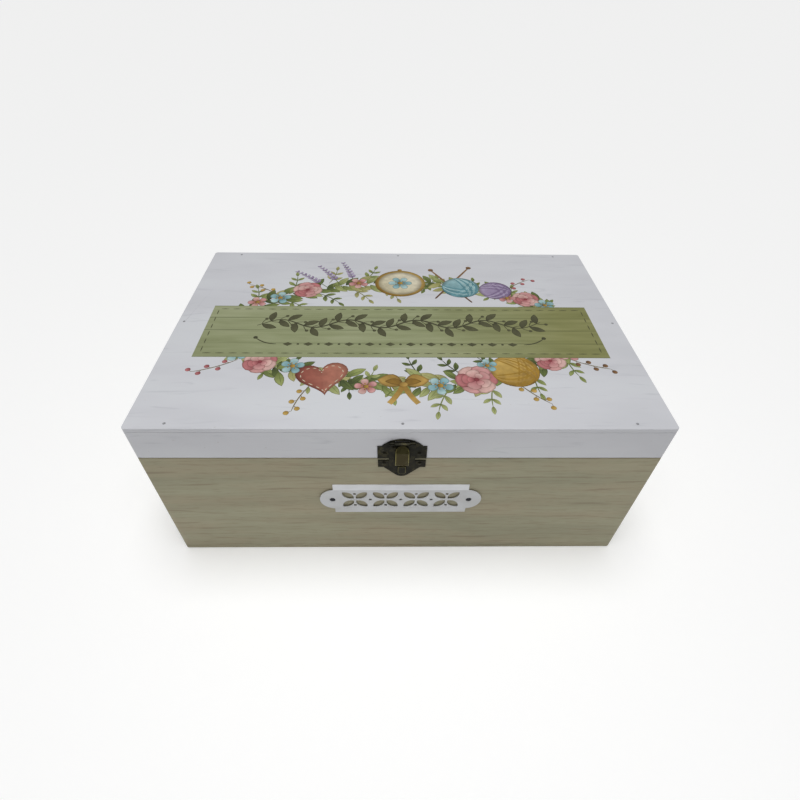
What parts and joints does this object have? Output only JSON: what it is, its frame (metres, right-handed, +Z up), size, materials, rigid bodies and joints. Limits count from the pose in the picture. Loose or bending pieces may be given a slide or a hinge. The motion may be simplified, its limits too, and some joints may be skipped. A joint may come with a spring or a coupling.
{
  "type": "sewing box",
  "caption": "Rectangular wooden sewing box with a back-hinged lid, a front hasp catch, a pierced front plate and a sliding divided tray.",
  "frame": {"origin": "centre of the floor panel's underside, which the box rests on", "axes": "+X to the right seen from the front (the long way), +Y from the front towards the hinges, +Z up"},
  "size_m": [0.3, 0.2096, 0.122],
  "materials": {
    "washed_wood": "grey-beige wash over straight-grained light wood, matt",
    "white_painted_wood": "white paint, satin, grain just showing",
    "bare_wood": "bare sanded light wood",
    "antique_bronze": "dark antique bronze with rubbed edges",
    "white_painted_metal": "white enamel, satin",
    "nail_steel": "dull steel"
  },
  "bodies": {
    "base": {"base_front_board": "washed_wood", "base_back_board": "washed_wood", "base_left_board": "washed_wood", "base_right_board": "washed_wood", "base_floor_panel": "washed_wood", "base_floor_nails": "nail_steel", "base_partition": "bare_wood", "tray_runner_front": "bare_wood", "tray_runner_back": "bare_wood", "hinge_left_base_leaf": "antique_bronze", "hinge_right_base_leaf": "antique_bronze", "hinge_left_pin": "antique_bronze", "hinge_right_pin": "antique_bronze", "hinge_base_brads": "antique_bronze", "catch_base_plate": "antique_bronze", "catch_base_brads": "antique_bronze", "front_plate": "white_painted_metal", "front_plate_nails": "nail_steel"},
    "lid": {"lid_top_panel": "white_painted_wood", "lid_panel_nails": "nail_steel", "lid_front_rail": "white_painted_wood", "lid_back_rail": "white_painted_wood", "lid_left_rail": "white_painted_wood", "lid_right_rail": "white_painted_wood", "hinge_left_lid_leaf": "antique_bronze", "hinge_right_lid_leaf": "antique_bronze", "hinge_lid_brads": "antique_bronze", "catch_lid_plate": "antique_bronze", "catch_lid_brads": "antique_bronze", "catch_hasp_pin": "antique_bronze"},
    "hasp": {"catch_hasp": "antique_bronze"},
    "tray": {"tray_front_board": "bare_wood", "tray_back_board": "bare_wood", "tray_left_board": "bare_wood", "tray_right_board": "bare_wood", "tray_floor": "bare_wood", "tray_long_divider": "bare_wood", "tray_cross_divider": "bare_wood"}
  },
  "joints": [
    {"name": "lid_hinge", "type": "hinge", "parent": "base", "child": "lid", "pos_m": [0, 0.1023, 0.0978], "axis": [-1, 0, 0], "range_deg": [0, 105]},
    {"name": "hasp_swing", "type": "hinge", "parent": "lid", "child": "hasp", "pos_m": [0, -0.1014, 0.1115], "axis": [-1, 0, 0], "range_deg": [0, 130]},
    {"name": "tray_slide", "type": "slide", "parent": "base", "child": "tray", "axis": [1, 0, 0], "range_m": [0, 0.133]}
  ]
}
